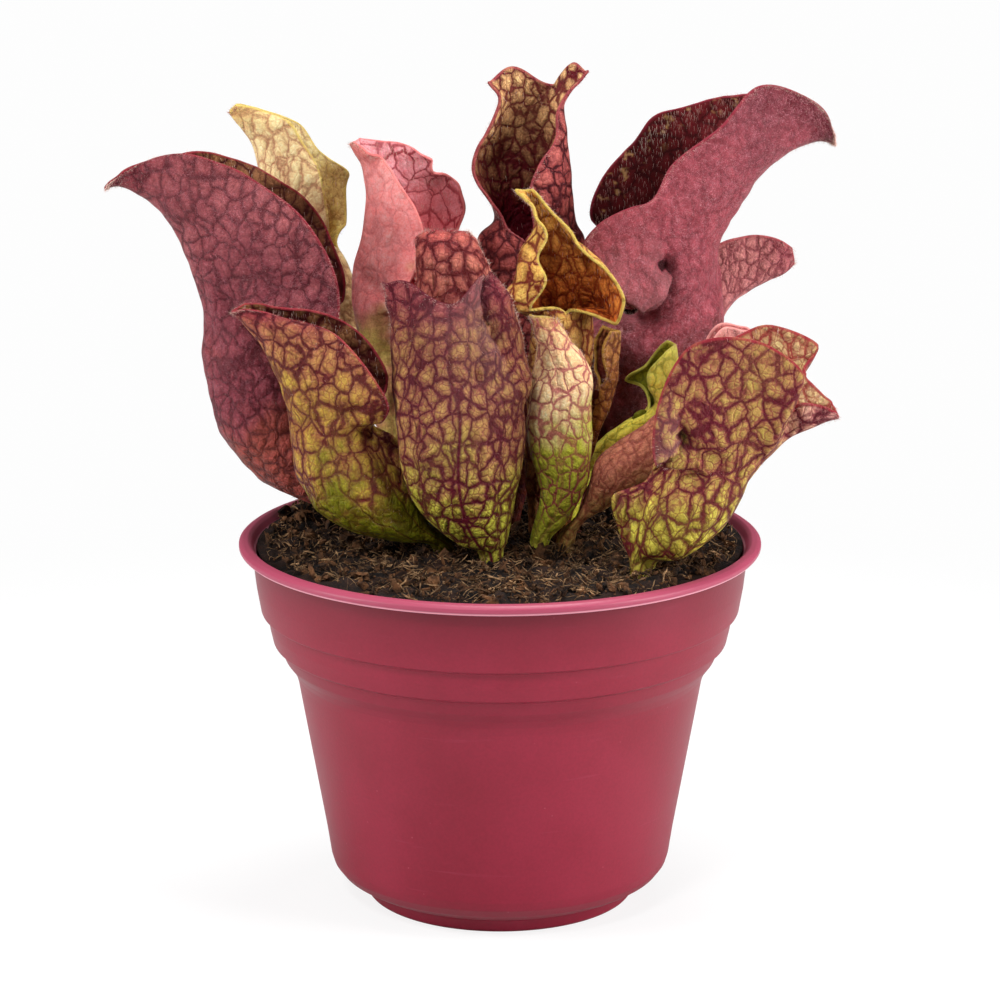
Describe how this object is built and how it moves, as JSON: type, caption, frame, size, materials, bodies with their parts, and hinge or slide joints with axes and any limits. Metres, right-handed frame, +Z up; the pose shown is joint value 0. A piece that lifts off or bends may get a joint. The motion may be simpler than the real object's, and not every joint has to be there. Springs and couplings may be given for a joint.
{
  "type": "potted pitcher plant",
  "caption": "Purple pitcher plant with wide waved hoods, growing in peat in a round tapered plastic nursery pot.",
  "frame": {"origin": "the middle of the pot's flat underside", "axes": "+Z up along the pot's axis, -Y towards the side with the tall leaves at left and right"},
  "size_m": [0.168, 0.1227, 0.19],
  "materials": {
    "pot": "crimson moulded plastic with a soft sheen",
    "peat": "dark fibrous peat, matt",
    "leaf_purple": "dark purple-red leaf with a fine net of veins, faintly downy",
    "leaf_green": "olive green leaf with a maroon net of veins",
    "leaf_pink": "coral pink leaf with darker veins",
    "leaf_yellow": "pale yellow-green leaf with brown-red veins"
  },
  "bodies": {
    "root": {"pot": "pot", "soil": "peat", "pitcher_left_tall": "leaf_purple", "pitcher_left_low": "leaf_green", "pitcher_front": "leaf_green", "pitcher_behind_front": "leaf_green", "pitcher_pink": "leaf_pink", "pitcher_yellow": "leaf_yellow", "pitcher_back_tall": "leaf_purple", "pitcher_orange": "leaf_yellow", "pitcher_narrow_green": "leaf_green", "pitcher_right_tall": "leaf_purple", "pitcher_right_back": "leaf_purple", "pitcher_right_front": "leaf_green", "pitcher_small_green": "leaf_yellow", "pitcher_red_brown": "leaf_pink", "pitcher_rolled": "leaf_green"}
  },
  "joints": []
}
